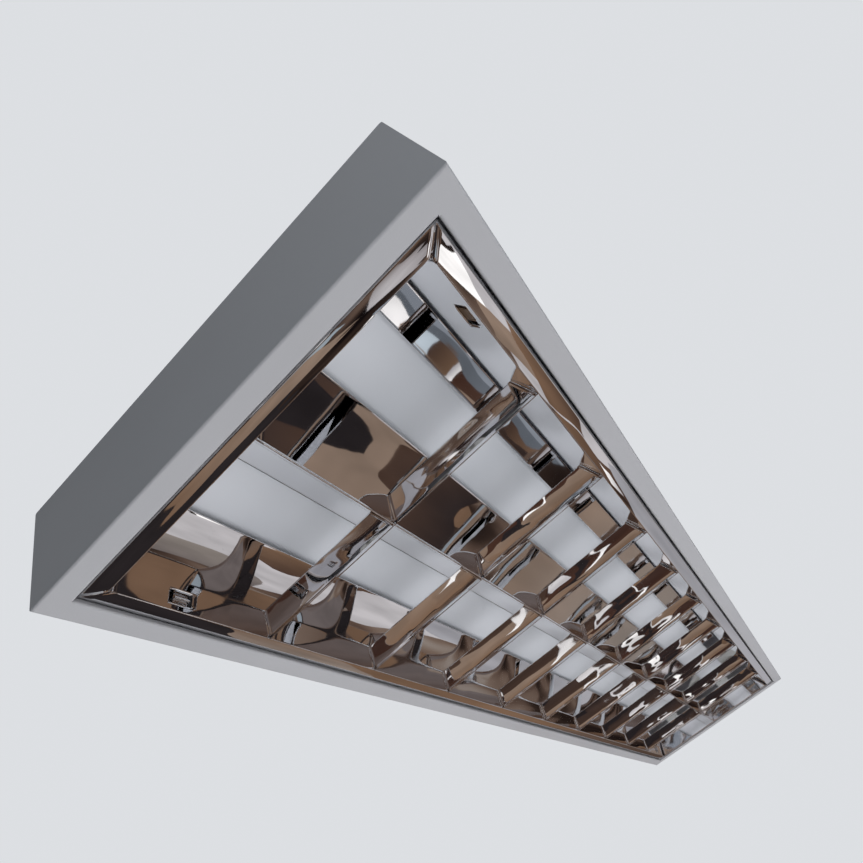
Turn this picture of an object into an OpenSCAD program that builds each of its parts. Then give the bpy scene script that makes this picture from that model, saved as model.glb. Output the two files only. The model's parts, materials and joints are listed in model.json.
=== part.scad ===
// Surface mount louvre light for two slim tubes.
// X runs along the fitting, Y across it and Z up; the origin is the middle of the ceiling face.
// Heights named _h above the opening are measured up from the bottom plane of the fitting.

/* [Housing] */
// Overall length of the fitting
body_l = 1200; // [1000:10:1500]
// Overall width of the fitting
body_w = 300; // [270:2:360]
// Depth from the ceiling face to the bottom plane
body_h = 80; // [72:1:100]
// Thickness of the housing sheet
sheet_t = 0.8; // [0.6:0.1:1.0]
// Outside radius of the housing's folds
bend_r = 1.6; // [1.3:0.1:2]
// Width of the inward flange along each long side
flange_w = 15; // [13:0.5:18]
// Width of the inward flange at each end
end_flange_w = 14; // [12:0.5:16]
// Height of the turned-up lip round the opening
lip_h = 3.5; // [2.5:0.1:3.6]

/* [Ceiling fixings] */
// Distance between the fixing holes along the fitting
fix_pitch_x = 900; // [700:10:1000]
// Distance between the fixing holes across the fitting
fix_pitch_y = 220; // [200:2:250]
// Diameter of the fixing holes
fix_d = 6.5; // [4.5:0.5:9]
// Diameter of the cable entry hole
entry_d = 20; // [16:0.5:26]
// Bore of the rubber grommet in the cable entry
grommet_bore_d = 12; // [6:0.5:13]
// Place of the cable entry along the fitting
entry_x = -250; // [-300:5:-230]

/* [Louvre] */
// Gap between the housing's lip and the louvre's rim
rim_gap = 1.4; // [1:0.1:1.6]
// Width of the louvre's rim along each long side
rim_w = 12; // [10:0.5:13]
// Height of the louvre's lower edges above the bottom plane
edge_h = 1; // [0.6:0.1:1.4]
// Rise of the rim from its inner edge to its outer edge
rim_rise = 2; // [1:0.1:2.2]
// Thickness of the mirror sheet
mirror_t = 0.4; // [0.3:0.05:0.6]
// Gap between the top of the reflectors and the gear tray
louvre_gap = 4.5; // [1.5:0.5:7]
// Place of each lamp slot's inner edge, as a share of the half width
slot_in_share = 0.2533; // [0.22:0.01:0.3]
// Place of each lamp slot's outer edge, as a share of the half width
slot_out_share = 0.5667; // [0.52:0.01:0.6]
// Number of cross blades
blade_n = 9; // [5:1:9]
// Height of the cross blades
blade_h = 18; // [12:1:22]
// Width of a cross blade at its open top
blade_w = 13.5; // [6:0.5:14]
// Gap between the top of each end's mirror wall and the lampholders
end_wall_gap = 1.5; // [1:0.5:6]

/* [Lamps and gear] */
// Distance between the two lamp axes, as a share of the fitting's width
lamp_pitch_share = 0.41; // [0.4:0.01:0.42]
// Room for the lampholders: how much longer the fitting is than a lamp between its cap faces
lamp_room = 51; // [50:0.5:56]
// Distance from the gear tray's floor down to the lamp axis
lamp_drop = 18; // [17:0.5:20]
// Width of the gear tray, as a share of the fitting's width
tray_w_share = 0.6133; // [0.56:0.01:0.62]
// Depth of the gear tray below the ceiling sheet
tray_d = 21.7; // [21:0.1:24]
// Thickness of the gear tray's sheet
tray_t = 0.6; // [0.5:0.1:0.8]
// Length of the ballast's cover, as a share of the fitting's length
ballast_l_share = 0.3; // [0.24:0.01:0.31]
// Width of the ballast's cover
ballast_w = 30; // [26:1:40]
// Height of the ballast
ballast_h = 18; // [15:0.5:19]

/* [Hinge and catches] */
// Distance of each hinge and catch from the end of the fitting
catch_from_end = 69; // [60:1:120]
// Diameter of the hinge pins
pin_d = 3; // [2.5:0.1:3.2]
// Length of the catch slots in the side reflectors
catch_slot_l = 16; // [12:1:20]
// Height of the catch slots in the side reflectors
catch_slot_h = 8; // [6:0.5:9]

/* [Hidden] */

// One overrun serves every cut
cut = 1;
round_fn = 64;
wire_fn = 16;

// Housing
inner_r = bend_r - sheet_t;
half_l = body_l / 2;
half_w = body_w / 2;
open_x = half_l - end_flange_w;
open_y = half_w - flange_w;
tab_w = 28;
tab_l = 16;
tab_from_side = 22;
tab_pitch = half_w - tab_from_side;
rivet_d = 3.2;
rivet_head_d = 6;
rivet_head_h = 1;
rivet_pitch = 16;
grommet_lip_w = 2.5;
grommet_lip_h = 2.2;

// Louvre
rim_out_x = open_x - rim_gap;
rim_out_y = open_y - rim_gap;
lamp_l = body_l - lamp_room;
holder_gap = 0.6;
rotor_proud = 0.3;
holder_face = lamp_l / 2 + holder_gap;
wall_gap = 0.3;
wall_x = holder_face - rotor_proud - wall_gap - mirror_t;
wall_y = rim_out_y - rim_w;
reflector_h = body_h - sheet_t - tray_d - louvre_gap - edge_h;
top_h = edge_h + reflector_h;
slot_in = half_w * slot_in_share;
slot_out = half_w * slot_out_share;
side_lean_share = 0.5;
side_curve_power = 3;
ridge_lean_share = 0.5;
ridge_curve_power = 2.4;
blade_curve_power = 1.35;
curve_steps = 18;
blade_steps = 6;
hem = 1.2;
blade_gap = 0.2;
blade_pitch = 2 * wall_x / (blade_n + 1);

// Hinge and catches
catch_x = half_l - catch_from_end;
pin_out = 7.6;
pin_y = -(wall_y + pin_out);
pin_h = 5.5;
pin_clear = 0.05;
knuckle_wall = 0.8;
knuckle_l = 10;
ear_t = 1.2;
ear_gap = 0.6;
ear_boss_wall = 1;
ear_boss_r = pin_d / 2 + ear_boss_wall;
ear_neck_w = 3;
ear_top_h = 30;
ear_arm_h = 14;
ear_arm_top_h = 24;
bracket_t = 1;
pin_over = 1;
pin_l = knuckle_l + 2 * (ear_gap + ear_t + pin_over);
strap_t = 0.8;
strap_from_h = 1.6;
strap_to_h = 23;
strap_w = knuckle_l;
arm_t = 1;
catch_slot_from_h = 5.5;
catch_nose_gap = 0.3;
catch_nose_h = 4.6;
catch_leaf_t = 0.6;
catch_leaf_w = 9;
catch_tab_t = 0.8;
catch_tab_out = 2.2;
catch_tab_rise = 3.4;

// Gear tray
tray_over = 2;
holder_t = 15;
tray_half_l = holder_face + holder_t + tray_over;
tray_foot_w = 11;
tray_floor = -sheet_t - tray_d;
tray_deck = tray_floor + tray_t;
tray_w = body_w * tray_w_share;
tray_half_w = tray_w / 2;
stud_x_shares = [-0.33, 0, 0.33];
stud_d = 4;
stud_l = 9;
stud_y = tray_half_w + tray_foot_w / 2;
nut_af = 7;
nut_h = 3.2;
nut_r = nut_af / 2 / cos(30);
thread_gap = 0.05;

// Lampholders
holder_w = 24;
lamp_y = body_w * lamp_pitch_share / 2;
lamp_z = tray_floor - lamp_drop;
end_wall_h = body_h + lamp_z - holder_w / 2 - end_wall_gap - edge_h;
rotor_r = 6;
rotor_gap = 0.15;
rotor_depth = 5;
rotor_back = 1;
pin_slot_w = 2.9;
pin_gate_w = 5.2;
contact_t = 0.8;
contact_w = 4;
contact_l = 5;
contact_pitch = 4.75;
rear_w = 15;
rear_h = 11;
rear_wall = 3;
rear_depth = holder_t - rotor_depth - rear_wall;
lug_l = 7;
lug_w = 12;
lug_over = 1.2;
lug_gap = 0.1;
lead_bore_gap = 0.2;
lead_inset = 3;

// Ballast, terminals and leads
ballast_l = body_l * ballast_l_share;
ballast_x_share = 1 / 6;
ballast_x = body_l * ballast_x_share;
ballast_t = 0.8;
ballast_ear = 22;
ballast_side_h = 6;
ballast_gap = 0.1;
board_t = 1.6;
board_lift = 2;
board_margin = 2;
board_boss_r = 1.5;
term_l = 10;
term_h = 10;
screw_d = 4;
screw_head_d = 7;
screw_head_h = 2.2;
screw_below = 3;
block_x_share = -0.125;
block_x = body_l * block_x_share;
block_l = 30;
block_w = 26;
block_h = 15;
block_poles = 3;
block_pitch = 8;
block_screw_d = 3.4;
block_screw_deep = 5;
screw_fill_share = 0.8;
earth_from_block = 100;
earth_x = block_x + earth_from_block;
earth_y = 40;
earth_l = 12;
earth_lead_lift = 6;
lead_r = 1.1;
lead_lift = 2.6;
lead_z = tray_deck + lead_lift;
lead_run_y = 34;
clip_l = 6;
clip_w = 6;
clip_x_shares = [-0.75, -0.45, -0.15];

// Heights above the bottom plane, as places in this frame
function up(h) = h - body_h;

// Half width between the mirror faces at a height above the bottom plane
function rise_share(h) = max(0, (h - edge_h) / reflector_h);
function bowl_share(s, lean, power) = lean * s + (1 - lean) * pow(s, power);
function side_face_y(h) = wall_y - (wall_y - slot_out)
    * bowl_share(rise_share(h), side_lean_share, side_curve_power);
function ridge_face_y(h) = slot_in
    * bowl_share(rise_share(h), ridge_lean_share, ridge_curve_power);

function steps(from, to, n) = [for (i = [0:n]) from + (to - from) * i / n];
function side_curve(from, to, n) = [for (h = steps(from, to, n)) [side_face_y(h), up(h)]];
function ridge_curve(from, to, n) = [for (h = steps(from, to, n)) [ridge_face_y(h), up(h)]];
function reversed(p) = [for (i = [len(p) - 1:-1:0]) p[i]];
function run_at(p, i) = p[min(i + 1, len(p) - 1)] - p[max(i - 1, 0)];
function side_of(d) = [d[1], -d[0]] / norm(d);
function moved(p, off) = [for (i = [0:len(p) - 1]) p[i] + off * side_of(run_at(p, i))];

// A strip of sheet that follows a curve, between two distances to its right
module strip_2d(p, near, far) polygon(concat(moved(p, near), reversed(moved(p, far))));

// Extrusions along X of a (Y, Z) outline and along Y of an (X, Z) outline
module along_x(l) rotate([90, 0, 90]) linear_extrude(l, center = true) children();
module along_y(l) rotate([90, 0, 0]) linear_extrude(l, center = true) children();
module both_y() {
    children();
    mirror([0, 1, 0]) children();
}
module left_of_middle() mirror([1, 0, 0]) children();

module soft_box_2d(w, low, high, r) {
    translate([-w / 2 + r, low]) square([w - 2 * r, high - low]);
    translate([-w / 2, low + r]) square([w, high - low - 2 * r]);
    for (x = [-w / 2 + r, w / 2 - r], z = [low + r, high - r])
        translate([x, z]) circle(r, $fn = round_fn);
}

// A fold of sheet whose corner is at the origin, in the quadrant of positive numbers
module fold_2d() intersection() {
    square(bend_r);
    translate([bend_r, bend_r]) difference() {
        circle(bend_r, $fn = round_fn);
        circle(inner_r, $fn = round_fn);
    }
}

// A fold with its leg up a wall, and one with a second leg along a flange
module wall_fold_2d(up_l) {
    fold_2d();
    translate([0, bend_r]) square([sheet_t, up_l - bend_r]);
}
module flange_fold_2d(up_l, flange_l) {
    wall_fold_2d(up_l);
    translate([bend_r, 0]) square([flange_l - bend_r, sheet_t]);
}

// A flange edge folded up into a lip, with a leg that runs on into the flange
module lip_2d() flange_fold_2d(lip_h, bend_r + sheet_t);

module shell_2d() difference() {
    soft_box_2d(body_w, -body_h, 0, bend_r);
    soft_box_2d(body_w - 2 * sheet_t, -body_h + sheet_t, -sheet_t, inner_r);
    translate([-open_y - bend_r, -body_h - cut]) square([2 * (open_y + bend_r), sheet_t + 2 * cut]);
}

module drill(x, y, d) translate([x, y, -2 * sheet_t - cut])
    cylinder(h = 2 * sheet_t + 2 * cut, d = d, $fn = round_fn);

module at_tab_rivets() for (s = [-1, 1], y = [-tab_pitch, 0, tab_pitch], k = [-0.5, 0.5])
    translate([s * (half_l - sheet_t - tab_l / 2), y + k * rivet_pitch, 0]) children();

module housing_body() color("whitesmoke") difference() {
    union() {
        along_x(body_l - 2 * bend_r) shell_2d();
        intersection() {
            along_x(body_l - 2 * sheet_t) shell_2d();
            translate([-half_l, -half_w, -body_h + bend_r]) cube([body_l, body_w, body_h]);
        }
        both_y() along_x(2 * open_x) translate([open_y, -body_h]) lip_2d();
        for (s = [-1, 1], k = [-1, 1])
            translate([s * (open_x + half_l - bend_r) / 2, k * (open_y + (bend_r + sheet_t) / 2),
                       -body_h + sheet_t / 2])
                cube([half_l - bend_r - open_x, bend_r + sheet_t, sheet_t], center = true);
    }
    for (s = [-1, 1], k = [-1, 1]) drill(s * fix_pitch_x / 2, k * fix_pitch_y / 2, fix_d);
    drill(entry_x, 0, entry_d);
    at_tab_rivets() drill(0, 0, rivet_d);
}

// The right-hand end cap: a plate, its bottom flange and lip, and the tabs under the ceiling sheet
module end_cap() color("whitesmoke") difference() {
    intersection() {
        union() {
            along_y(body_w) translate([half_l, -body_h]) mirror([1, 0]) wall_fold_2d(body_h);
            along_y(2 * open_y) {
                translate([half_l, -body_h]) mirror([1, 0])
                    flange_fold_2d(body_h, end_flange_w - bend_r);
                translate([open_x, -body_h]) lip_2d();
            }
            for (y = [-tab_pitch, 0, tab_pitch])
                translate([half_l - sheet_t - tab_l, y - tab_w / 2, -2 * sheet_t])
                    cube([tab_l + sheet_t / 2, tab_w, sheet_t]);
        }
        along_x(body_l + cut) soft_box_2d(body_w, -body_h, 0, bend_r);
    }
    at_tab_rivets() drill(0, 0, rivet_d);
}

module end_cap_rivets() color("silver") at_tab_rivets() {
    translate([0, 0, -2 * sheet_t - rivet_head_h / 2])
        cylinder(h = 2 * sheet_t + rivet_head_h / 2, d = rivet_d, $fn = round_fn);
    translate([0, 0, -2 * sheet_t - rivet_head_h])
        cylinder(h = rivet_head_h, d = rivet_head_d, $fn = round_fn);
}

module cable_grommet() color("dimgray") translate([entry_x, 0, 0]) difference() {
    union() {
        translate([0, 0, -sheet_t - grommet_lip_h / 2])
            cylinder(h = sheet_t + grommet_lip_h / 2, d = entry_d, $fn = round_fn);
        translate([0, 0, -sheet_t - grommet_lip_h])
            cylinder(h = grommet_lip_h, d = entry_d + 2 * grommet_lip_w, $fn = round_fn);
    }
    translate([0, 0, -sheet_t - grommet_lip_h - cut])
        cylinder(h = sheet_t + grommet_lip_h + 2 * cut, d = grommet_bore_d, $fn = round_fn);
}

// Hinge bracket: a plate on the side wall and two ears that reach over and down to the pin
module ear_2d() {
    difference() {
        union() {
            translate([pin_y, up(pin_h)]) circle(ear_boss_r, $fn = round_fn);
            translate([pin_y - ear_neck_w / 2, up(pin_h)])
                square([ear_neck_w, ear_arm_top_h - pin_h]);
            translate([-half_w + sheet_t, up(ear_arm_h)])
                square([pin_y + ear_neck_w / 2 + half_w - sheet_t, ear_arm_top_h - ear_arm_h]);
        }
        translate([pin_y, up(pin_h)]) circle(pin_d / 2, $fn = round_fn);
    }
}

module hinge_bracket() color("lightgray") {
    for (s = [-1, 1])
        translate([catch_x + s * (knuckle_l / 2 + ear_gap + ear_t / 2), 0, 0])
            along_x(ear_t) ear_2d();
    translate([catch_x - pin_l / 2, -half_w + sheet_t, up(ear_arm_h)])
        cube([pin_l, bracket_t, ear_top_h - ear_arm_h]);
}

module hinge_pin() color("silver") translate([catch_x, pin_y, up(pin_h)])
    rotate([0, 90, 0]) cylinder(h = pin_l, d = pin_d, center = true, $fn = round_fn);

// Louvre pieces
module catch_slot_cut() for (s = [-1, 1])
    translate([s * catch_x - catch_slot_l / 2, wall_y - rim_w, up(catch_slot_from_h)])
        cube([catch_slot_l, rim_w + 2 * mirror_t, catch_slot_h]);

module rim_2d(inner, outer) polygon([
    [inner, up(edge_h)], [outer, up(edge_h + rim_rise)],
    [outer, up(edge_h + rim_rise) + mirror_t], [inner, up(edge_h) + mirror_t]]);

module rim_plan(outer_x, inner_x, outer_y, inner_y)
    translate([0, 0, -body_h]) linear_extrude(body_h)
        polygon([[-outer_x, outer_y], [outer_x, outer_y], [inner_x, inner_y], [-inner_x, inner_y]]);

module side_reflector() color("gainsboro") {
    difference() {
        along_x(2 * wall_x) {
            strip_2d(side_curve(edge_h, top_h, curve_steps), 0, mirror_t);
            translate([slot_out, up(top_h)]) square([hem, mirror_t]);
        }
        catch_slot_cut();
    }
    intersection() {
        along_x(2 * rim_out_x) rim_2d(wall_y, rim_out_y);
        rim_plan(rim_out_x, wall_x, rim_out_y, wall_y);
    }
}

module end_wall_2d() polygon(concat(
    [for (p = moved(side_curve(edge_h, edge_h + end_wall_h, curve_steps), mirror_t)) p],
    [for (p = reversed(moved(side_curve(edge_h, edge_h + end_wall_h, curve_steps), mirror_t)))
        [-p[0], p[1]]]));

module end_reflector() color("gainsboro") {
    translate([wall_x + mirror_t / 2, 0, 0]) along_x(mirror_t) end_wall_2d();
    intersection() {
        along_y(2 * rim_out_y) rim_2d(wall_x, rim_out_x);
        rotate([0, 0, -90]) rim_plan(rim_out_y, wall_y, rim_out_x, wall_x);
    }
}

module centre_reflector() color("gainsboro") both_y() along_x(2 * wall_x) {
    strip_2d(ridge_curve(edge_h, top_h, curve_steps), -mirror_t, 0);
    translate([slot_in - hem, up(top_h)]) square([hem, mirror_t]);
}

// The space of one row of cells, from the ridge to the side reflector
module row_2d() polygon(concat(
    moved(ridge_curve(edge_h, edge_h + blade_h, blade_steps), blade_gap),
    reversed(moved(side_curve(edge_h, edge_h + blade_h, blade_steps), -blade_gap))));

function blade_face_x(h) = blade_w / 2 * pow((h - edge_h) / blade_h, blade_curve_power);
module blade_2d() for (s = [0, 1]) mirror([s, 0])
    strip_2d([for (h = steps(edge_h, edge_h + blade_h, blade_steps)) [blade_face_x(h), up(h)]],
             -mirror_t, 0);

module cross_blade(i) color("gainsboro") translate([-wall_x + i * blade_pitch, 0, 0])
    both_y() intersection() {
        along_y(2 * wall_y) blade_2d();
        along_x(2 * blade_w) row_2d();
    }

// Hinge strap: a strip behind the hinge-side reflector whose arm ends in a knuckle on the pin
function strap_curve() = side_curve(strap_from_h, strap_to_h, curve_steps);

module hinge_strap() color("darkgoldenrod") translate([catch_x, 0, 0]) difference() {
    along_x(strap_w) {
        mirror([1, 0]) strip_2d(strap_curve(), mirror_t, mirror_t + strap_t);
        translate([pin_y, up(pin_h)]) circle(pin_d / 2 + pin_clear + knuckle_wall, $fn = round_fn);
        translate([pin_y, up(pin_h) - arm_t / 2])
            square([-side_face_y(pin_h) - mirror_t - strap_t / 2 - pin_y, arm_t]);
    }
    translate([0, pin_y, up(pin_h)]) rotate([0, 90, 0])
        cylinder(h = strap_w + 2 * cut, d = pin_d + 2 * pin_clear, center = true, $fn = round_fn);
}

// Spring catch: a strip behind the catch-side reflector, a leaf to the lip and a finger tab
module leaf_2d() {
    leaf_top = [side_face_y(strap_to_h) + mirror_t + strap_t / 2, up(strap_to_h)];
    nose = [open_y - catch_nose_gap, up(catch_nose_h)];
    polygon([leaf_top, leaf_top + [catch_leaf_t, catch_leaf_t],
             [nose[0], nose[1] + catch_leaf_t], nose,
             [nose[0] - catch_leaf_t, nose[1]]]);
}

module spring_catch() color("silver") translate([catch_x, 0, 0]) {
    along_x(strap_w) strip_2d(strap_curve(), mirror_t, mirror_t + strap_t);
    along_x(catch_leaf_w) leaf_2d();
    for (k = [-0.5, 0.5]) {
        tab_h = catch_slot_from_h + catch_slot_h / 2 + k * catch_tab_rise;
        translate([-strap_w / 2, side_face_y(tab_h) - catch_tab_out, up(tab_h)])
            cube([strap_w, catch_tab_out + mirror_t + strap_t, catch_tab_t]);
    }
}

// Gear tray: a shallow channel under the ceiling sheet, with a foot along each side
module tray_2d() {
    translate([-tray_half_w, tray_floor]) square([tray_w, tray_t]);
    for (s = [0, 1]) mirror([s, 0]) {
        translate([tray_half_w - tray_t, tray_floor]) square([tray_t, tray_d]);
        translate([tray_half_w - tray_t, -sheet_t - tray_t])
            square([tray_foot_w + tray_t, tray_t]);
    }
}

module at_studs() for (k = stud_x_shares, s = [-1, 1])
    translate([k * body_l, s * stud_y, -sheet_t]) children();

module at_holders() for (s = [-1, 1], k = [-1, 1])
    translate([s * holder_face, k * lamp_y, 0]) mirror([s < 0 ? 1 : 0, 0, 0]) children();

module at_ballast_screws() for (s = [-1, 1])
    translate([ballast_x + s * (ballast_l / 2 + ballast_ear - screw_head_d), 0, tray_deck])
        children();

module gear_tray() color("white") difference() {
    along_x(2 * tray_half_l) tray_2d();
    at_studs() translate([0, 0, -tray_t - cut])
        cylinder(h = tray_t + 2 * cut, d = stud_d + 2 * thread_gap, $fn = round_fn);
    at_holders() {
        translate([holder_t / 2 - lug_l / 2 - lug_gap - lead_inset, -lug_w / 2 - lug_gap,
                   tray_floor - cut])
            cube([lug_l + 2 * lug_gap, lug_w + 2 * lug_gap, tray_t + 2 * cut]);
        translate([holder_t - lead_inset, 0, tray_floor - cut])
            cylinder(h = tray_t + 2 * cut, r = lead_r + 2 * lead_bore_gap, $fn = round_fn);
    }
    at_ballast_screws() translate([0, 0, -tray_t - cut])
        cylinder(h = tray_t + 2 * cut, d = screw_d + 2 * thread_gap, $fn = round_fn);
}

module tray_studs() color("silver") at_studs()
    translate([0, 0, -stud_l]) cylinder(h = stud_l, d = stud_d, $fn = round_fn);

module nut() difference() {
    cylinder(h = nut_h, r = nut_r, $fn = 6);
    translate([0, 0, -cut])
        cylinder(h = nut_h + 2 * cut, d = stud_d + 2 * thread_gap, $fn = round_fn);
}

module tray_nuts() color("silver") at_studs() translate([0, 0, -tray_t - nut_h]) nut();

// Ballast
module ballast_base() color("silver") translate([ballast_x, 0, tray_deck]) difference() {
    base_w = ballast_w - 2 * (ballast_t + ballast_gap);
    union() {
        translate([-ballast_l / 2 - ballast_ear, -base_w / 2, 0])
            cube([ballast_l + 2 * ballast_ear, base_w, ballast_t]);
        for (s = [-1, 1])
            translate([-ballast_l / 2 + ballast_t, s * (base_w - ballast_t) / 2 - ballast_t / 2, 0])
                cube([ballast_l - 2 * ballast_t, ballast_t, ballast_side_h]);
        for (s = [-1, 1], k = [-1, 1])
            translate([s * (ballast_l / 2 - ballast_w / 2), k * base_w / 4, 0])
                cylinder(h = ballast_t + board_lift, r = board_boss_r, $fn = round_fn);
    }
    for (s = [-1, 1])
        translate([s * (ballast_l / 2 + ballast_ear - screw_head_d), 0, -cut])
            cylinder(h = ballast_t + 2 * cut, d = screw_d + 2 * thread_gap, $fn = round_fn);
}

module ballast_cover() color("whitesmoke") translate([ballast_x, 0, tray_deck + ballast_t])
    difference() {
        translate([-ballast_l / 2, -ballast_w / 2, 0])
            cube([ballast_l, ballast_w, ballast_h - ballast_t]);
        translate([-ballast_l / 2 + ballast_t, -ballast_w / 2 + ballast_t, -cut])
            cube([ballast_l - 2 * ballast_t, ballast_w - 2 * ballast_t,
                  ballast_h - 2 * ballast_t + cut]);
    }

// Board with a choke, capacitors and a row of small parts, sized as shares of the ballast
part_x_shares = [-0.38, -0.24, -0.1, 0.06, 0.22, 0.36];
part_h_shares = [0.5, 0.42, 0.55, 0.55, 0.36, 0.46];
part_w_share = 0.5;

module ballast_board() color("darkgreen")
    translate([ballast_x, 0, tray_deck + ballast_t + board_lift]) {
        board_l = ballast_l - 2 * (ballast_t + board_margin);
        board_w = ballast_w - 2 * (2 * ballast_t + ballast_gap) - board_margin;
        translate([-board_l / 2, -board_w / 2, 0]) cube([board_l, board_w, board_t]);
        for (i = [0:len(part_x_shares) - 1]) {
            part_w = board_w * part_w_share;
            part_h = board_t + ballast_h * part_h_shares[i];
            translate([ballast_l * part_x_shares[i], 0, 0]) {
                if (i % 2 == 0) translate([-part_w / 2, -part_w / 2, 0])
                    cube([part_w, part_w, part_h]);
                else cylinder(h = part_h, d = part_w, $fn = round_fn);
            }
        }
    }

module ballast_terminals() color("ivory") for (s = [-1, 1])
    translate([ballast_x + s * (ballast_l / 2 + term_l / 2 + ballast_gap), 0,
               tray_deck + ballast_t + term_h / 2])
        cube([term_l, ballast_w - 2 * (ballast_t + ballast_gap), term_h], center = true);

module ballast_screws() color("silver") at_ballast_screws() {
    translate([0, 0, -tray_t - screw_below])
        cylinder(h = tray_t + screw_below + ballast_t + screw_head_h / 2, d = screw_d,
                 $fn = round_fn);
    translate([0, 0, ballast_t]) cylinder(h = screw_head_h, d = screw_head_d, $fn = round_fn);
}

// Mains terminal block
module at_block_screws() for (k = [0:block_poles - 1], s = [-1, 1])
    translate([block_x + s * block_l / 4, (k - (block_poles - 1) / 2) * block_pitch,
               tray_deck + block_h - block_screw_deep]) children();

module terminal_block() color("ivory") difference() {
    translate([block_x - block_l / 2, -block_w / 2, tray_deck]) cube([block_l, block_w, block_h]);
    at_block_screws()
        cylinder(h = block_screw_deep + cut, d = block_screw_d, $fn = round_fn);
}

module terminal_screws() color("goldenrod") at_block_screws()
    cylinder(h = block_screw_deep * screw_fill_share, d = block_screw_d - 2 * thread_gap, $fn = round_fn);

module earth_stud() color("silver") translate([earth_x, earth_y, tray_deck])
    cylinder(h = earth_l, d = stud_d, $fn = round_fn);

module earth_nuts() color("goldenrod") translate([earth_x, earth_y, tray_deck]) {
    nut();
    translate([0, 0, earth_l - nut_h]) nut();
}

// Leads: straight runs with round elbows, laid just over the tray
module rod(a, b) {
    d = b - a;
    translate(a) rotate([0, acos(d[2] / norm(d)), atan2(d[1], d[0])])
        cylinder(h = norm(d), r = lead_r, $fn = wire_fn);
}
module lead(p) {
    for (i = [0:len(p) - 2]) rod(p[i], p[i + 1]);
    if (len(p) > 2) for (i = [1:len(p) - 2]) translate(p[i]) sphere(lead_r, $fn = wire_fn);
}

module mains_leads() color("sienna") {
    block_side = block_x + block_l / 2;
    input_side = ballast_x - ballast_l / 2 - ballast_gap - term_l;
    stud_side = earth_x - nut_r - lead_r;
    for (s = [-1, 1])
        lead([[block_side, s * block_pitch, lead_z], [input_side, s * block_pitch, lead_z]]);
    earth_z = tray_deck + earth_lead_lift;
    lead([[block_side, 0, earth_z],
          [stud_side - block_pitch, 0, earth_z],
          [stud_side - block_pitch, earth_y, earth_z],
          [earth_x - stud_d / 2, earth_y, earth_z]]);
}

holder_lead_x = holder_face + holder_t - lead_inset;
holder_lead_end = lamp_z + rear_h / 2;

module lamp_leads_right() color("white") {
    output_side = ballast_x + ballast_l / 2 + ballast_gap + term_l;
    output_z = lead_z + ballast_t + lead_r;
    for (s = [-1, 1]) lead([
        [output_side, s * block_pitch / 2, output_z],
        [output_side + ballast_ear, s * block_pitch / 2, output_z],
        [output_side + ballast_ear, s * lamp_y, output_z],
        [holder_lead_x, s * lamp_y, output_z],
        [holder_lead_x, s * lamp_y, holder_lead_end]]);
}

module lamp_leads_left() color("white") {
    output_side = ballast_x - ballast_l / 2 - ballast_gap - term_l / 2;
    for (s = [-1, 1]) lead([
        [output_side, s * (ballast_w / 2 - ballast_t - ballast_gap), lead_z],
        [output_side, s * lead_run_y, lead_z],
        [-holder_lead_x + lead_run_y, s * lead_run_y, lead_z],
        [-holder_lead_x + lead_run_y, s * lamp_y, lead_z],
        [-holder_lead_x, s * lamp_y, lead_z],
        [-holder_lead_x, s * lamp_y, holder_lead_end]]);
}

module wire_clips() color("ivory") for (k = clip_x_shares, s = [-1, 1])
    translate([k * half_l, s * lead_run_y, 0]) difference() {
        translate([-clip_l / 2, -clip_w / 2, tray_deck]) cube([clip_l, clip_w, 2 * lead_lift]);
        translate([0, 0, lead_z]) rotate([0, 90, 0])
            cylinder(h = clip_l + 2 * cut, r = lead_r + thread_gap, center = true, $fn = round_fn);
    }

// Lampholder, drawn with its lamp face at x = 0 and its body towards +X
module holder_2d() {
    translate([0, lamp_z]) circle(d = holder_w, $fn = round_fn);
    translate([-holder_w / 2, lamp_z]) square([holder_w, tray_floor - lamp_z]);
}

module holder() difference() {
    union() {
        translate([holder_t / 2, 0, 0]) along_x(holder_t) holder_2d();
        translate([holder_t / 2 - lug_l / 2 - lead_inset, -lug_w / 2, tray_floor - lug_over])
            cube([lug_l, lug_w, tray_t + 2 * lug_over]);
    }
    translate([-cut, 0, lamp_z]) rotate([0, 90, 0])
        cylinder(h = rotor_depth + rotor_gap + cut, r = rotor_r + rotor_gap, $fn = round_fn);
    translate([-cut, -pin_gate_w / 2, lamp_z - holder_w])
        cube([rotor_depth + rotor_gap + cut, pin_gate_w, holder_w]);
    translate([holder_t - rear_depth, -rear_w / 2, lamp_z - rear_h / 2])
        cube([rear_depth + cut, rear_w, rear_h]);
    translate([holder_t - lead_inset, 0, lamp_z])
        cylinder(h = tray_floor - lamp_z + cut, r = lead_r + lead_bore_gap, $fn = round_fn);
}

module rotor() translate([-rotor_proud, 0, lamp_z]) rotate([0, 90, 0]) difference() {
    cylinder(h = rotor_depth + rotor_proud, r = rotor_r, $fn = round_fn);
    translate([-rotor_r - cut, -pin_slot_w / 2, -cut])
        cube([2 * (rotor_r + cut), pin_slot_w, rotor_depth + rotor_proud - rotor_back + cut]);
}

module contacts() for (k = [-0.5, 0.5])
    translate([holder_t - rear_depth, k * contact_pitch - contact_t / 2, lamp_z - contact_w / 2])
        cube([contact_l - lead_inset / 2, contact_t, contact_w]);

// Holders are numbered 1 and 2 at the left end, 3 and 4 at the right end
module place_holder(i) translate([(i > 2 ? 1 : -1) * holder_face, (i % 2 == 1 ? -1 : 1) * lamp_y, 0])
    mirror([i > 2 ? 0 : 1, 0, 0]) children();

module lampholder(i) color("white") place_holder(i) holder();
module lampholder_rotor(i) color("ghostwhite") place_holder(i) rotor();
module lampholder_contacts() color("goldenrod") at_holders() contacts();

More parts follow.
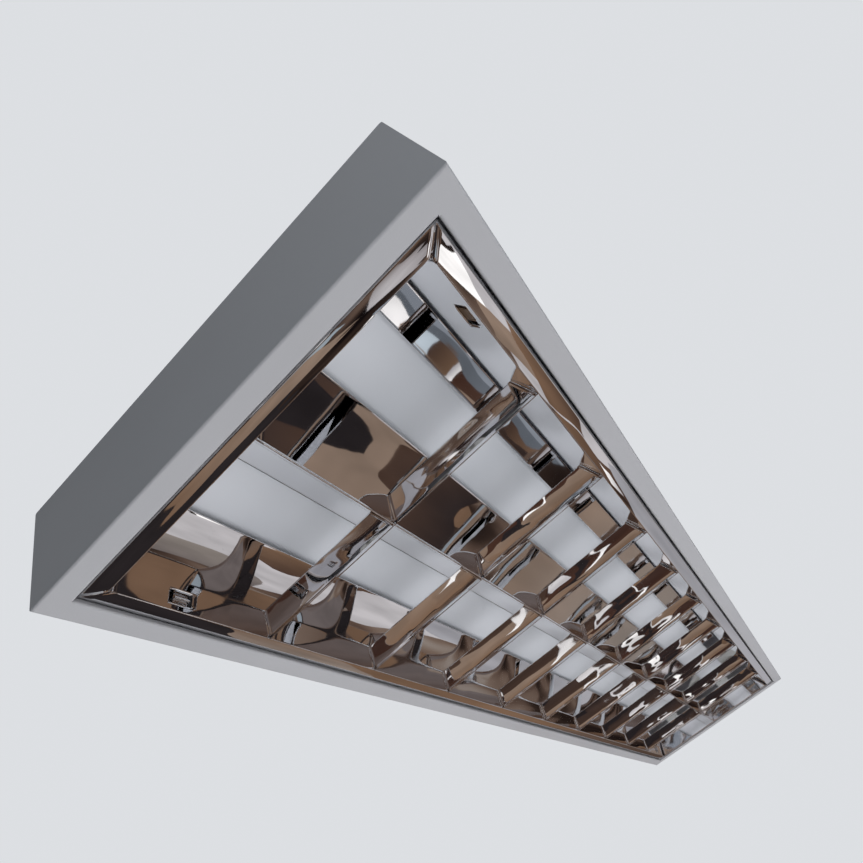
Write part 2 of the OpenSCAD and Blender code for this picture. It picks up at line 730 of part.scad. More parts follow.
housing_body();
left_of_middle() end_cap();  // end_cap_left
end_cap();  // end_cap_right
end_cap_rivets();
cable_grommet();
left_of_middle() hinge_bracket();  // hinge_bracket_left
hinge_bracket();  // hinge_bracket_right
left_of_middle() hinge_pin();  // hinge_pin_left
hinge_pin();  // hinge_pin_right
gear_tray();
tray_studs();
tray_nuts();
ballast_base();
ballast_cover();
ballast_board();
ballast_terminals();
ballast_screws();
terminal_block();
terminal_screws();
earth_stud();
earth_nuts();
mains_leads();
lamp_leads_left();
lamp_leads_right();
wire_clips();
for (i = [1:4]) lampholder(i);
for (i = [1:4]) lampholder_rotor(i);
lampholder_contacts();
mirror([0, 1, 0]) side_reflector();  // side_reflector_hinge_side
side_reflector();  // side_reflector_catch_side
centre_reflector();
left_of_middle() end_reflector();  // end_reflector_left
end_reflector();  // end_reflector_right
left_of_middle() hinge_strap();  // hinge_strap_left
hinge_strap();  // hinge_strap_right
left_of_middle() spring_catch();  // spring_catch_left
spring_catch();  // spring_catch_right
for (i = [1:blade_n]) cross_blade(i);
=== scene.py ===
"""Surface mount louvre light: the visible model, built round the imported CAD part.

Sizes are in millimetres unless a name says otherwise, and heights are measured up from the
bottom plane of the fitting, as in the part's source. Places of the camera, lights and room
are in metres.
"""
import json
import math

import bmesh
import bpy
from mathutils import Matrix, Vector, noise


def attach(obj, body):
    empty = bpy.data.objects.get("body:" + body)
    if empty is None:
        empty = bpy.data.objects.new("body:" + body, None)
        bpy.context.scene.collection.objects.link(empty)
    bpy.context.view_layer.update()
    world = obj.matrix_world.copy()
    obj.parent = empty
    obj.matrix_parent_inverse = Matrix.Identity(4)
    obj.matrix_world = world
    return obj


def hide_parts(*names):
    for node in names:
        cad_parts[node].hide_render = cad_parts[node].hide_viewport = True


MM = 0.001

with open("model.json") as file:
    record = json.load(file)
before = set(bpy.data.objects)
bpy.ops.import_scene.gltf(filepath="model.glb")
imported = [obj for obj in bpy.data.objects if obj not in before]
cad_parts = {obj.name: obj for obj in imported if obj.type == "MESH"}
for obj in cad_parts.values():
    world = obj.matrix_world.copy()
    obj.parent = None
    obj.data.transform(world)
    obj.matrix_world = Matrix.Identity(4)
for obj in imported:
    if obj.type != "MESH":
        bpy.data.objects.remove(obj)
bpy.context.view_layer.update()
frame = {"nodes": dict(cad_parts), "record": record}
nodes = frame["nodes"]
scene = bpy.context.scene

# Sizes of the louvre, as in the part's source
BODY_H = 80.0
RIM_OUT_X = 584.6
RIM_OUT_Y = 133.6
WALL_X = 574.1
WALL_Y = 121.6
EDGE_H = 1.0
RIM_RISE = 2.0
MIRROR_T = 0.4
REFLECTOR_H = 52.0
TOP_H = EDGE_H + REFLECTOR_H
LAMP_SLOT_IN = 38.0
LAMP_SLOT_OUT = 85.0
HEM = 1.2
BLADE_N = 9
BLADE_H = 18.0
BLADE_W = 13.5
BLADE_GAP = 0.2
END_WALL_H = 25.0
SIDE_LEAN, SIDE_POWER = 0.5, 3.0
RIDGE_LEAN, RIDGE_POWER = 0.5, 2.4
BLADE_POWER = 1.35

# The cuts in the side sheets that show a hinge strap or a catch
CUT_X = 531.0
CUT_L = 16.0
CUT_FROM_H = 5.5
CUT_H = 8.0

# Folds and the slight waviness of the sheets
FOLD_R = 0.7
BLADE_FOLD_R = 0.42
RIDGE_FOLD_R = 0.5
RIM_BOW = 0.22
MITRE_GAP = 0.12
WAVE = 0.10
CENTRE_WAVE = 0.32
BLADE_WAVE = 0.30
WAVE_LENGTHS = (95.0, 70.0, 34.0)
BLADE_WAVE_LENGTHS = (30.0, 26.0, 22.0)
SEED_STEP = 7.3
SIDE_SEED, CENTRE_SEED, END_SEED, BLADE_SEED = 1, 4, 8, 10

# How finely the sheets are divided
RIM_STEPS = 7
FOLD_STEPS = 6
ROUND_FOLD_STEPS = 5
LONG_COLUMNS = 232
END_COLUMNS = 60
BLADE_COLUMNS = 44
CUT_ROWS = 4
SIDE_ROWS = 34
CENTRE_ROWS = 46
END_ROWS = 14
BLADE_ROWS = 24


def bowl(h, lean, power):
    """How far a reflector has come in at a height: 0 at its foot and 1 at its top."""
    t = max(0.0, (h - EDGE_H) / REFLECTOR_H)
    return lean * t + (1 - lean) * t ** power


def side_y(h):
    """The mirror face of a side reflector at a height."""
    return WALL_Y - (WALL_Y - LAMP_SLOT_OUT) * bowl(h, SIDE_LEAN, SIDE_POWER)


def ridge_y(h):
    """The mirror face of the centre reflector at a height."""
    return LAMP_SLOT_IN * bowl(h, RIDGE_LEAN, RIDGE_POWER)


def blade_x(h):
    """Half the width of a cross blade at a height."""
    return BLADE_W / 2 * (max(0.0, h - EDGE_H) / BLADE_H) ** BLADE_POWER


def fold_half(h, r):
    """Half the width of a round fold of radius r whose lowest point is at the sheets' foot."""
    rise = min(r, max(0.0, h - EDGE_H))
    return math.sqrt(r * r - (r - rise) ** 2)


def fold_heights(r):
    """The heights at which a round fold of radius r gets a row of points."""
    quarter = math.pi / 2
    return [EDGE_H + r * (1 - math.cos(quarter * k / ROUND_FOLD_STEPS))
            for k in range(1, ROUND_FOLD_STEPS + 1)]


def v_wing(half_width, r, rows):
    """One wing of a V of sheet, from its round fold up: half widths and heights."""
    return [(max(half_width(h), fold_half(h, r)), h) for h in fold_heights(r) + rows]


def spread(a, b, n, power=1.0):
    """n + 1 values from a to b, closer together near a when the power is above 1."""
    return [a + (b - a) * (i / n) ** power for i in range(n + 1)]


def unit(v):
    size = math.hypot(*v)
    return (v[0] / size, v[1] / size)


def arc(p, q, r):
    """A round corner between the unit directions p (coming in) and q (going out)."""
    half = math.acos(max(-1.0, min(1.0, p[0] * q[0] + p[1] * q[1]))) / 2
    back = r * math.tan(half)
    turn = 1 if p[0] * q[1] - p[1] * q[0] > 0 else -1
    start = (-p[0] * back, -p[1] * back)
    centre = (start[0] - turn * p[1] * r, start[1] + turn * p[0] * r)
    a0 = math.atan2(start[1] - centre[1], start[0] - centre[0])
    angles = [a0 + turn * 2 * half * k / FOLD_STEPS for k in range(FOLD_STEPS + 1)]
    return back, [(centre[0] + r * math.cos(a), centre[1] + r * math.sin(a)) for a in angles]


def rim_and_fold(rim_out, foot, wall_dir):
    """The rim from its outer edge to the foot, bulging down a little, and the fold there."""
    rim_dir = unit((foot - rim_out, -RIM_RISE))
    back, corner = arc(rim_dir, wall_dir, FOLD_R)
    reach = math.hypot(rim_out - foot, RIM_RISE) - back
    points = []
    for k in range(RIM_STEPS):
        t = k / RIM_STEPS
        bow = RIM_BOW * 4 * t * (1 - t)
        points.append((rim_out + rim_dir[0] * reach * t,
                       EDGE_H + RIM_RISE + rim_dir[1] * reach * t - bow))
    return points + [(foot + x, EDGE_H + h) for x, h in corner]


def mitre(share, foot, rim_out):
    """How far a sheet reaches at a share of the way from its foot to its outer edge."""
    return foot + share * (rim_out - foot) - MITRE_GAP


def ripple(x, y, z, seed, depth=WAVE, lengths=WAVE_LENGTHS):
    """The slight waviness of thin polished sheet, in millimetres."""
    p = Vector((x / lengths[0] + seed * SEED_STEP, y / lengths[1], z / lengths[2]))
    return depth * noise.noise(p)


def growing(h, start, length):
    """0 up to a height, then growing to 1 over a length."""
    return min(1.0, max(0.0, (h - start) / length))


def fading(h):
    """1, and going down to 0 just under the reflectors' top."""
    return min(1.0, max(0.0, (TOP_H - 1.0 - h) / 6.0))


# Meshes and objects
def scaled(rows):
    """The points of a grid in metres, row by row."""
    return [Vector(p) * MM for row in rows for p in row]


def quads(row_n, width, first=0, flip=False, skip=None):
    """The faces of a grid of points. skip(i, j) leaves one out."""
    faces = []
    for i in range(row_n - 1):
        for j in range(width - 1):
            if skip and skip(i, j):
                continue
            a = first + i * width + j
            face = (a, a + 1, a + width + 1, a + width)
            faces.append(face[::-1] if flip else face)
    return faces


def new_mesh(name, verts, faces):
    mesh = bpy.data.meshes.new(name)
    mesh.from_pydata(verts, [], faces)
    mesh.update()
    return mesh


def grid_mesh(name, rows, skip=None):
    """A mesh from rows of points in millimetres."""
    return new_mesh(name, scaled(rows), quads(len(rows), len(rows[0]), skip=skip))


def new_object(name, data):
    obj = bpy.data.objects.new(name, data)
    scene.collection.objects.link(obj)
    return obj


def aim(obj, place_at, face_to, axis):
    """Puts an object at a place, with one of its axes towards a point."""
    obj.location = place_at
    obj.rotation_mode = "QUATERNION"
    obj.rotation_quaternion = (Vector(face_to) - Vector(place_at)).to_track_quat(axis, "Y")


def sheet_piece(name, mesh, node, offset):
    """A piece of mirror sheet: the mesh is its visible face, and its back lies behind it."""
    obj = new_object(name, mesh)
    mesh.materials.append(mats["mirror_aluminium"])
    for poly in mesh.polygons:
        poly.use_smooth = True
    solid = obj.modifiers.new("sheet", "SOLIDIFY")
    solid.thickness = MIRROR_T * MM
    solid.offset = offset
    solid.use_even_offset = True
    solid.use_quality_normals = True
    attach(obj, "louvre")
    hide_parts(node)


# Materials
def add_node(tree, kind, **values):
    node = tree.nodes.new(kind)
    for key, value in values.items():
        node.inputs[key].default_value = value
    return node


def ramp(tree, source, low, high, at=(0.3, 0.7)):
    """Two colours spread over a source's values."""
    node = tree.nodes.new("ShaderNodeValToRGB")
    for step, position, colour in zip(node.color_ramp.elements, at, (low, high)):
        step.position = position
        step.color = (*colour, 1)
    tree.links.new(source, node.inputs["Fac"])
    return node


def grey(v):
    return (v, v, v)


def surface(name, low, high, rough, scale, bump=0.0, bump_scale=None, metallic=0.0,
            stretch=(1, 1, 1), specular=0.5, bump_depth=0.0002):
    """A base surface: two close colours, a roughness that varies with them, and fine relief."""
    mat = bpy.data.materials.new(name)
    mat.use_nodes = True
    tree = mat.node_tree
    shader = tree.nodes["Principled BSDF"]
    coord = tree.nodes.new("ShaderNodeTexCoord")
    mapping = add_node(tree, "ShaderNodeMapping", Scale=stretch)
    tree.links.new(coord.outputs["Object"], mapping.inputs["Vector"])
    cloud = add_node(tree, "ShaderNodeTexNoise", Scale=scale, Detail=4.0, Roughness=0.55)
    tree.links.new(mapping.outputs["Vector"], cloud.inputs["Vector"])
    tone = ramp(tree, cloud.outputs["Fac"], low, high)
    tree.links.new(tone.outputs["Color"], shader.inputs["Base Color"])
    gloss = ramp(tree, cloud.outputs["Fac"], grey(rough[0]), grey(rough[1]))
    tree.links.new(gloss.outputs["Color"], shader.inputs["Roughness"])
    shader.inputs["Metallic"].default_value = metallic
    shader.inputs["Specular IOR Level"].default_value = specular
    if bump:
        grain = add_node(tree, "ShaderNodeTexNoise", Scale=bump_scale or scale * 20, Detail=3.0)
        tree.links.new(mapping.outputs["Vector"], grain.inputs["Vector"])
        relief = add_node(tree, "ShaderNodeBump", Strength=bump, Distance=bump_depth)
        tree.links.new(grain.outputs["Fac"], relief.inputs["Height"])
        tree.links.new(relief.outputs["Normal"], shader.inputs["Normal"])
    return mat


# One entry for each material slot of the part
mats = {
    "housing_white": surface("powder_coat", (0.565, 0.56, 0.59), (0.62, 0.615, 0.645),
                             (0.42, 0.54), 3.0, bump=0.25, bump_scale=900, specular=0.3),
    "tray_white": surface("tray_enamel", (0.72, 0.75, 0.81), (0.78, 0.80, 0.86),
                          (0.40, 0.55), 4.0, bump=0.2, bump_scale=700),
    "rivet_zinc": surface("rivet_metal", (0.55, 0.55, 0.54), (0.70, 0.70, 0.69),
                          (0.30, 0.50), 300.0, bump=0.2, metallic=1.0),
    "grommet_rubber": surface("grommet_rubber", (0.018, 0.018, 0.018), (0.04, 0.04, 0.04),
                              (0.60, 0.80), 200.0, bump=0.4, bump_scale=1500),
    "bracket_zinc": surface("bracket_zinc", (0.45, 0.45, 0.43), (0.62, 0.62, 0.60),
                            (0.30, 0.48), 160.0, bump=0.2, metallic=1.0),
    "pin_steel": surface("pin_steel", (0.55, 0.55, 0.55), (0.68, 0.68, 0.67),
                         (0.18, 0.32), 400.0, metallic=1.0, stretch=(0.1, 1, 1)),
    "fastener_zinc": surface("fastener_zinc", (0.50, 0.50, 0.48), (0.68, 0.68, 0.66),
                             (0.28, 0.45), 300.0, bump=0.2, metallic=1.0),
    "ballast_steel": surface("ballast_enamel", (0.70, 0.70, 0.69), (0.78, 0.78, 0.77),
                             (0.35, 0.50), 20.0, bump=0.2, bump_scale=900),
    "board_green": surface("circuit_board", (0.010, 0.070, 0.030), (0.030, 0.150, 0.070),
                           (0.35, 0.60), 120.0, bump=0.4, bump_scale=600),
    "terminal_plastic": surface("terminal_plastic", (0.66, 0.64, 0.56), (0.74, 0.72, 0.64),
                                (0.45, 0.60), 60.0, bump=0.2),
    "screw_brass": surface("screw_brass", (0.55, 0.38, 0.14), (0.72, 0.52, 0.22),
                           (0.22, 0.42), 300.0, bump=0.2, metallic=1.0),
    "lead_brown": surface("lead_brown", (0.085, 0.032, 0.014), (0.125, 0.050, 0.022),
                          (0.30, 0.45), 80.0),
    "lead_white": surface("lead_white", (0.66, 0.66, 0.63), (0.74, 0.74, 0.71),
                          (0.30, 0.45), 80.0),
    "holder_plastic": surface("holder_plastic", (0.70, 0.70, 0.68), (0.76, 0.76, 0.74),
                              (0.28, 0.42), 60.0, bump=0.15),
    "rotor_plastic": surface("rotor_plastic", (0.58, 0.58, 0.55), (0.66, 0.66, 0.63),
                             (0.30, 0.45), 60.0, bump=0.15),
    "contact_bronze": surface("contact_bronze", (0.50, 0.28, 0.12), (0.66, 0.40, 0.20),
                              (0.20, 0.38), 300.0, metallic=1.0),
    "strap_bronze": surface("strap_bronze", (0.16, 0.085, 0.035), (0.28, 0.16, 0.07),
                            (0.30, 0.50), 200.0, bump=0.3, metallic=1.0),
    "spring_steel": surface("spring_steel", (0.70, 0.70, 0.71), (0.82, 0.82, 0.83),
                            (0.10, 0.22), 200.0, metallic=1.0, stretch=(0.1, 1, 1)),
    "mirror_aluminium": surface("mirror_aluminium", (0.86, 0.86, 0.87), (0.92, 0.92, 0.93),
                                (0.015, 0.045), 12.0, bump=0.10, bump_scale=26.0, metallic=1.0,
                                stretch=(0.35, 1, 1), bump_depth=0.0004),
}

for part in frame["record"]["subparts"]:
    for slot in nodes[part["node"]].material_slots:
        slot.material = mats[part["material_slot"]]


# The louvre's sheets. In the calls below s is the side, -1 or 1
def side_profile():
    """Rim, fold, curved wall and top hem: distances from the centre line, and heights."""
    first_h = EDGE_H + 2.0
    wall_dir = unit((side_y(first_h) - WALL_Y, first_h - EDGE_H))
    heights = [2.2, 2.8, 3.6, 4.5]
    heights += [CUT_FROM_H + CUT_H * k / CUT_ROWS for k in range(CUT_ROWS + 1)]
    heights += spread(15.0, TOP_H - 0.5, SIDE_ROWS)
    hem = [(LAMP_SLOT_OUT + 0.02, TOP_H - 0.1), (LAMP_SLOT_OUT + 0.35, TOP_H),
           (LAMP_SLOT_OUT + HEM - 0.1, TOP_H)]
    return (rim_and_fold(RIM_OUT_Y, WALL_Y, wall_dir) +
            [(side_y(h), h) for h in heights] + hem)


def side_columns():
    """Places along a side sheet, with one at each end of each cut."""
    xs = set(round(x, 3) for x in spread(-WALL_X, WALL_X, LONG_COLUMNS))
    for side in (-1, 1):
        xs |= {side * CUT_X - CUT_L / 2, side * CUT_X + CUT_L / 2}
    return sorted(xs)


def side_sheet(name, node, s):
    profile = side_profile()
    xs = side_columns()
    rows = []
    for y, h in profile:
        on_rim = y > WALL_Y
        share = (y - WALL_Y) / (RIM_OUT_Y - WALL_Y) if on_rim else 0.0
        reach = mitre(share, WALL_X, RIM_OUT_X)
        held = growing(h, 3.0, 12.0) * fading(h)
        row = []
        for x in xs:
            wave = ripple(x, y, h, SIDE_SEED + s) * held
            px = x * reach / WALL_X if on_rim else max(-reach, min(reach, x))
            row.append((px, s * (y - wave), h - BODY_H))
        rows.append(row)

    def skip(i, j):
        mid_x = (xs[j] + xs[j + 1]) / 2
        mid_h = (profile[i][1] + profile[i + 1][1]) / 2
        return (abs(abs(mid_x) - CUT_X) < CUT_L / 2 and
                CUT_FROM_H < mid_h < CUT_FROM_H + CUT_H and profile[i][0] < WALL_Y)

    sheet_piece(name, grid_mesh(name, rows, skip), node, -s)


def centre_sheet(name, node):
    """The V between the two rows, with a hem along each top edge."""
    heights = spread(EDGE_H + 0.9, TOP_H - 0.3, CENTRE_ROWS, 1.25)
    wing = v_wing(ridge_y, RIDGE_FOLD_R, heights)
    wing += [(LAMP_SLOT_IN - 0.02, TOP_H - 0.12), (LAMP_SLOT_IN - 0.3, TOP_H),
             (LAMP_SLOT_IN - HEM, TOP_H)]
    profile = [(-y, h) for y, h in reversed(wing)] + [(0.0, EDGE_H)] + wing
    xs = spread(-WALL_X + MITRE_GAP, WALL_X - MITRE_GAP, LONG_COLUMNS)
    rows = []
    for y, h in profile:
        held = growing(h, 2.0, 10.0) * fading(h)
        side = 1 if y > 0 else -1
        rows.append([(x, y + side * ripple(x, y, h, CENTRE_SEED, CENTRE_WAVE) * held,
                      h - BODY_H) for x in xs])
    sheet_piece(name, grid_mesh(name, rows), node, 1.0)


def end_sheet(name, node, s):
    profile = rim_and_fold(RIM_OUT_X, WALL_X, (0.0, 1.0))
    profile += [(WALL_X, h) for h in spread(2.4, EDGE_H + END_WALL_H, END_ROWS)]
    rows = []
    for x, h in profile:
        if x > WALL_X + 0.001:
            half = mitre((x - WALL_X) / (RIM_OUT_X - WALL_X), WALL_Y, RIM_OUT_Y)
        else:
            half = side_y(h) - MITRE_GAP
        held = growing(h, 3.0, 8.0)
        rows.append([(s * (x + abs(ripple(x, y, h, END_SEED)) * held), y, h - BODY_H)
                     for y in spread(-half, half, END_COLUMNS)])
    sheet_piece(name, grid_mesh(name, rows), node, s)


def blade_sheet(i):
    """Both halves of one cross blade: in each row a V of sheet with curved faces."""
    x0 = -WALL_X + i * 2 * WALL_X / (BLADE_N + 1)
    heights = spread(EDGE_H + 0.9, EDGE_H + BLADE_H, BLADE_ROWS, 1.1)
    wing = v_wing(blade_x, BLADE_FOLD_R, heights)
    profile = [(-x, h) for x, h in reversed(wing)] + [(0.0, EDGE_H)] + wing
    verts, faces = [], []
    for s in (-1, 1):
        rows = []
        for x, h in profile:
            side = 1 if x > 0 else -1
            held = growing(h, 1.5, 5.0)
            row = []
            for y in spread(ridge_y(h) + BLADE_GAP, side_y(h) - BLADE_GAP, BLADE_COLUMNS):
                dent = abs(ripple(x0 + x, y * s, h, BLADE_SEED + i, BLADE_WAVE,
                                  BLADE_WAVE_LENGTHS)) * held
                row.append((x0 + x - side * dent, s * y, h - BODY_H))
            rows.append(row)
        faces += quads(len(rows), BLADE_COLUMNS + 1, first=len(verts), flip=s < 0)
        verts += scaled(rows)
    name = "blade_sheet_%d" % i
    sheet_piece(name, new_mesh(name, verts, faces), "cross_blade_%d" % i, -1.0)


side_sheet("side_sheet_hinge", "side_reflector_hinge_side", -1)
side_sheet("side_sheet_catch", "side_reflector_catch_side", 1)
centre_sheet("centre_v_sheet", "centre_reflector")
end_sheet("end_sheet_left", "end_reflector_left", -1)
end_sheet("end_sheet_right", "end_reflector_right", 1)
for number in range(1, BLADE_N + 1):
    blade_sheet(number)

# Camera at the photograph's place, fitted to the fitting's corners and louvre lines
CAM_POS = (-0.7224, -0.1000, -0.3265)
CAM_TURN = (0.5431, -0.7079, 0.6899)
CAM_FOCAL_PX = 576.5
CAM_CENTRE_Y = 520.0
PICTURE_PX = 863.0
SENSOR = 36.0

turn = Vector(CAM_TURN)
axes = Matrix.Rotation(turn.length, 3, turn.normalized())
place = Matrix((axes[0], -axes[1], -axes[2])).transposed().to_4x4()
place.translation = CAM_POS
cam_data = bpy.data.cameras.new("camera")
cam_data.sensor_width = SENSOR
cam_data.lens = SENSOR * CAM_FOCAL_PX / PICTURE_PX
cam_data.shift_y = (CAM_CENTRE_Y - PICTURE_PX / 2) / PICTURE_PX
cam_data.clip_start = 0.01
cam = new_object("camera", cam_data)
cam.matrix_world = place
scene.camera = cam

# Floor, far below the fitting
FLOOR_Z = -1.6
FLOOR_HALF = 30.0

corners = [(x * FLOOR_HALF, y * FLOOR_HALF, 0) for x, y in ((-1, -1), (1, -1), (1, 1), (-1, 1))]
floor_mesh = new_mesh("floor", corners, [(0, 1, 2, 3)])
floor_mesh.materials.append(
    surface("studio_floor", (0.72, 0.72, 0.72), (0.76, 0.76, 0.76), (0.6, 0.8), 2.0))
floor = new_object("floor", floor_mesh)
aim(floor, (0, 0, FLOOR_Z), (0, 0, 10), "Z")
floor.visible_diffuse = False

# World and lights
world = bpy.data.worlds.new("studio")
scene.world = world
world.use_nodes = True
background = world.node_tree.nodes["Background"]
background.inputs["Color"].default_value = (0.84, 0.94, 1.0, 1)
background.inputs["Strength"].default_value = 0.125


def area_light(name, place_at, face_to, size, watts, colour=(1, 1, 1)):
    data = bpy.data.lights.new(name, "AREA")
    data.shape = "RECTANGLE"
    data.size, data.size_y = size
    data.energy = watts
    data.color = colour
    obj = new_object(name, data)
    aim(obj, place_at, face_to, "-Z")
    obj.visible_glossy = False


area_light("key_below", (0.1, 0.0, -1.5), (0.1, 0.0, 0.0), (2.6, 3.0), 27.5)
area_light("end_fill", (-0.95, -0.65, -0.05), (-0.6, -0.15, -0.04), (0.5, 0.4), 1.1,
           (0.86, 0.95, 1.0))

# Broad light from above, for the floor and the ceiling side of the fitting
sky_data = bpy.data.lights.new("from_above", "SUN")
sky_data.energy = 2.2
sky_data.angle = math.radians(60)
sky = new_object("from_above", sky_data)
sky.rotation_euler = (math.radians(8), math.radians(12), 0)
sky.visible_glossy = False

# A room that only the mirrors see: a brown dome with walls, a window and dark corners inside
# it, all drawn as patches of spheres round one point
HUB = Vector((-0.3, 0.0, -0.08))
DOME_R = 1.45
LAYER_STEP = 0.012
ROOM_TONES = (
    (0.30, (0.006, 0.004, 0.004)),
    (0.42, (0.035, 0.022, 0.017)),
    (0.50, (0.110, 0.072, 0.055)),
    (0.60, (0.180, 0.128, 0.100)),
    (0.70, (0.270, 0.225, 0.195)),
)
BRIGHT = (1.15, 1.12, 1.10)
PALE = (0.53, 0.505, 0.515)
DUSK = (0.27, 0.235, 0.21)
TAN = (0.275, 0.198, 0.150)
BROWN = (0.190, 0.114, 0.072)
UMBER = (0.075, 0.044, 0.032)
COCOA = (0.150, 0.125, 0.120)
STEEL = (0.300, 0.345, 0.380)
RUST = (0.062, 0.029, 0.020)
SOOT = (0.022, 0.018, 0.019)
ICE = (0.58, 0.66, 0.72)
SILVER = (0.355, 0.350, 0.375)
SLATE = (0.135, 0.150, 0.172)
ASH = (0.270, 0.295, 0.335)

# The waves along the patches' edges: their size in degrees, and the noise that makes them
EDGE_WAVE = 4.5
EDGE_TURN_SCALE = 5
EDGE_RISE = 40.0
EDGE_SHIFT = Vector((9, 4, 2))
PATCH_STEP = 1.5
LOWEST = -89.9


def emitter(name, strength=1.0):
    """A material that only glows, and its glow."""
    mat = bpy.data.materials.new(name)
    mat.use_nodes = True
    tree = mat.node_tree
    tree.nodes.clear()
    out = tree.nodes.new("ShaderNodeOutputMaterial")
    glow = add_node(tree, "ShaderNodeEmission", Strength=strength)
    tree.links.new(glow.outputs["Emission"], out.inputs["Surface"])
    return mat, glow


def room_material():
    """The dome's brown clouds."""
    mat, glow = emitter("room")
    tree = mat.node_tree
    coord = tree.nodes.new("ShaderNodeTexCoord")
    cloud = add_node(tree, "ShaderNodeTexNoise", Scale=1.9, Detail=2.0, Roughness=0.45,
                     Distortion=0.6)
    tree.links.new(coord.outputs["Object"], cloud.inputs["Vector"])
    tones = tree.nodes.new("ShaderNodeValToRGB")
    steps = tones.color_ramp.elements
    while len(steps) < len(ROOM_TONES):
        steps.new(0.5)
    for step, (at, colour) in zip(steps, ROOM_TONES):
        step.position = at
        step.color = (*colour, 1)
    tree.links.new(cloud.outputs["Fac"], tones.inputs["Fac"])
    tree.links.new(tones.outputs["Color"], glow.inputs["Color"])
    return mat


def wall_material(name, low, high):
    """A lit wall: one colour at its lower edge, another at its upper edge, and soft cloud."""
    mat, glow = emitter(name)
    tree = mat.node_tree
    coord = tree.nodes.new("ShaderNodeTexCoord")
    parts = tree.nodes.new("ShaderNodeSeparateXYZ")
    tree.links.new(coord.outputs["Generated"], parts.inputs["Vector"])
    fade = ramp(tree, parts.outputs["Z"], low, high, (0.05, 0.95))
    cloud = add_node(tree, "ShaderNodeTexNoise", Scale=4.5, Detail=2.0, Roughness=0.5)
    tree.links.new(coord.outputs["Object"], cloud.inputs["Vector"])
    shade = ramp(tree, cloud.outputs["Fac"], grey(0.82), grey(1.12), (0.35, 0.65))
    both = tree.nodes.new("ShaderNodeVectorMath")
    both.operation = "MULTIPLY"
    tree.links.new(fade.outputs["Color"], both.inputs[0])
    tree.links.new(shade.outputs["Color"], both.inputs[1])
    tree.links.new(both.outputs["Vector"], glow.inputs["Color"])
    return mat


def ball(name, radius, material):
    mesh = bpy.data.meshes.new(name)
    shape = bmesh.new()
    bmesh.ops.create_uvsphere(shape, u_segments=48, v_segments=24, radius=radius)
    shape.to_mesh(mesh)
    shape.free()
    mesh.materials.append(material)
    return new_object(name, mesh)


def mirror_only(obj):
    """Puts a piece of the room at the hub and hides it from all but the mirrors."""
    obj.location = HUB
    obj.visible_camera = False
    obj.visible_diffuse = False
    obj.visible_shadow = False
    obj.visible_transmission = False


def patch(name, azimuths, elevations, radius, material):
    """A piece of a sphere round the hub, between two azimuths and two elevations. Its edges
    are wavy, and pieces that share an edge stay joined."""
    across = max(2, round(abs(azimuths[1] - azimuths[0]) / PATCH_STEP))
    up = max(2, round(abs(elevations[1] - elevations[0]) / PATCH_STEP))
    verts = []
    for e in spread(elevations[0], elevations[1], up):
        for a in spread(azimuths[0], azimuths[1], across):
            turn_in = math.radians(a)
            at = Vector((math.cos(turn_in), math.sin(turn_in), e / EDGE_RISE)) * EDGE_TURN_SCALE
            az = math.radians(a + EDGE_WAVE * noise.noise(at))
            el = math.radians(max(LOWEST, e + EDGE_WAVE * noise.noise(at + EDGE_SHIFT)))
            verts.append(Vector((math.cos(el) * math.cos(az), math.cos(el) * math.sin(az),
                                 math.sin(el))) * radius)
    mesh = new_mesh(name, verts, quads(up + 1, across + 1))
    mesh.materials.append(material)
    mirror_only(new_object(name, mesh))


# A pale backdrop that only the camera sees
backdrop_mat, backdrop_glow = emitter("backdrop", 0.9)
backdrop_glow.inputs["Color"].default_value = (0.80, 0.82, 0.85, 1)
backdrop = ball("backdrop", 14.0, backdrop_mat)
backdrop.visible_diffuse = False
backdrop.visible_glossy = False
backdrop.visible_transmission = False
backdrop.visible_shadow = False

mirror_only(ball("room_dome", DOME_R, room_material()))

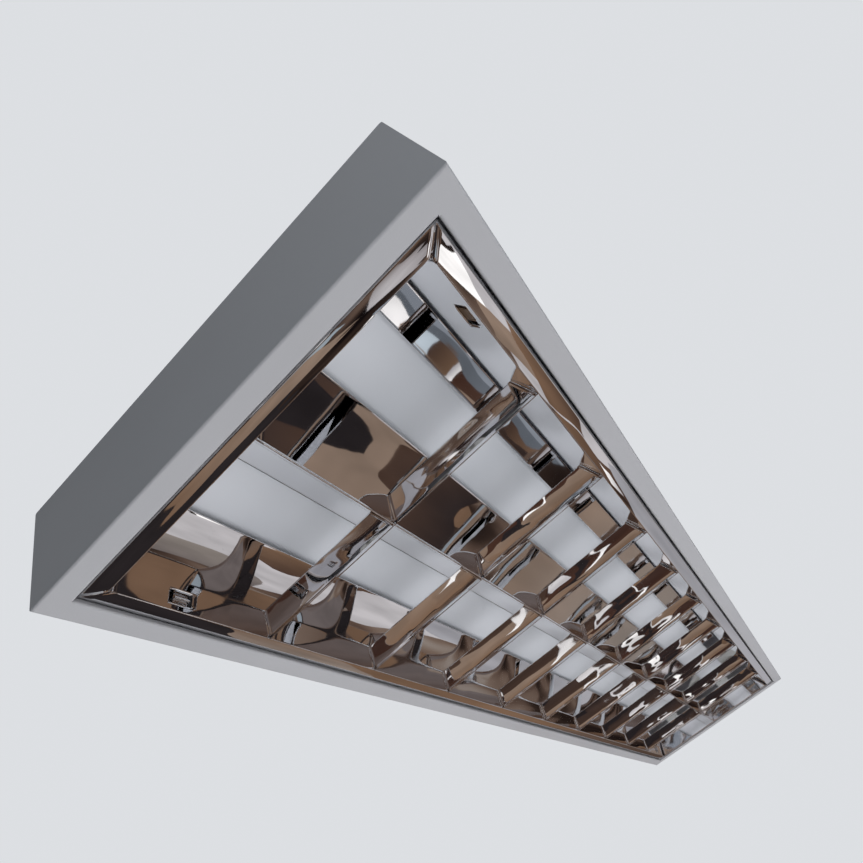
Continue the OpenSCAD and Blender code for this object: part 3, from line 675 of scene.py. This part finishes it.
WALLS = (
    # azimuths, elevations, colour at the lower edge, colour at the upper edge, layer
    ((-122, -96), (-52, -16), COCOA, COCOA, 1),
    ((-150, -122), (-42, -8), COCOA, UMBER, 1),
    ((-170, -150), (-62, -30), BROWN, UMBER, 1),
    ((-170, -150), (-30, 0), UMBER, COCOA, 1),
    ((150, 170), (-20, -4), TAN, BROWN, 1),
    ((170, 190), (-13.5, -4), TAN, BROWN, 1),
    ((150, 170), (-58, -20), SOOT, UMBER, 1),
    ((170, 190), (-58, -13.5), SOOT, RUST, 1),
    ((181, 190), (-44, -30), TAN, BROWN, 2),
    ((108, 158), (-62, -33), SOOT, SOOT, 2),
    ((106, 162), (-80, -62), STEEL, STEEL, 1),
    ((60, 94), (-76, -60), SOOT, SOOT, 2),
    ((60, 108), (-60, -8), SOOT, SOOT, 2),
    ((93, 142), (-87, -58), TAN, BROWN, 3),
    ((-170, -50), (-90, -79), PALE, COCOA, 2),
    ((44, 60), (-40, -8), BROWN, DUSK, 1),
    ((12, 44), (-36, -6), BROWN, BROWN, 1),
    ((36, 60), (-61, -40), BROWN, BROWN, 2),
    ((2, 27), (-66, -47), TAN, TAN, 2),
    ((25, 48), (-75, -52), SOOT, SOOT, 3),
    ((14, 27), (-75, -58.5), SOOT, UMBER, 4),
    ((2, 24), (-47, -36), UMBER, SOOT, 3),
    ((-3.5, 6), (-80, -60.5), BRIGHT, BRIGHT, 3),
    ((-2, 2), (-60.5, -58.5), BROWN, BROWN, 3),
    ((-2, 2), (-58.5, -57), ICE, ICE, 3),
    ((-2, 2), (-57, -54), UMBER, BROWN, 3),
    ((-2, 2), (-54, -52.5), PALE, BRIGHT, 3),
    ((-2, 2), (-52.5, -46), RUST, UMBER, 3),
    ((-2, 2), (-46, -44.5), ICE, ICE, 3),
    ((-2, 2), (-44.5, -36), UMBER, BROWN, 3),
    ((-4.5, -2), (-80, -34), SLATE, SLATE, 4),
    ((-14, -4.5), (-80, -34), ASH, ASH, 4),
    ((-50, -24), (-43, -33), BROWN, UMBER, 3),
    ((-8, 12), (-30, -8), TAN, DUSK, 2),
    ((-78, -57), (-52, -30), PALE, PALE, 2),
    ((-78, -57), (-30, -16), DUSK, COCOA, 2),
    ((-57, -23), (-49, -16), PALE, PALE, 2),
    ((-56, -43), (-62, -49), BRIGHT, BRIGHT, 3),
    ((-43, -30), (-53, -43), TAN, TAN, 3),
    ((-23, -14), (-42, -27), BROWN, UMBER, 3),
    ((-25, -6), (-27, -2), SILVER, SILVER, 3),
    ((-21, -15), (-31, -28), BRIGHT, PALE, 4),
    ((172, 174), (-44, -20), BRIGHT, PALE, 3),
    ((180, 181.5), (-46, -12), PALE, BRIGHT, 3),
    ((164, 166), (-40, -13), PALE, BRIGHT, 3),
    ((176, 178), (-40, -8), SOOT, SOOT, 3),
)
for k, (azimuths, elevations, low, high, layer) in enumerate(WALLS):
    name = "wall_%d" % (k + 1)
    patch(name, azimuths, elevations, DOME_R - layer * LAYER_STEP,
          wall_material(name, low, high))

scene.view_settings.view_transform = "Standard"
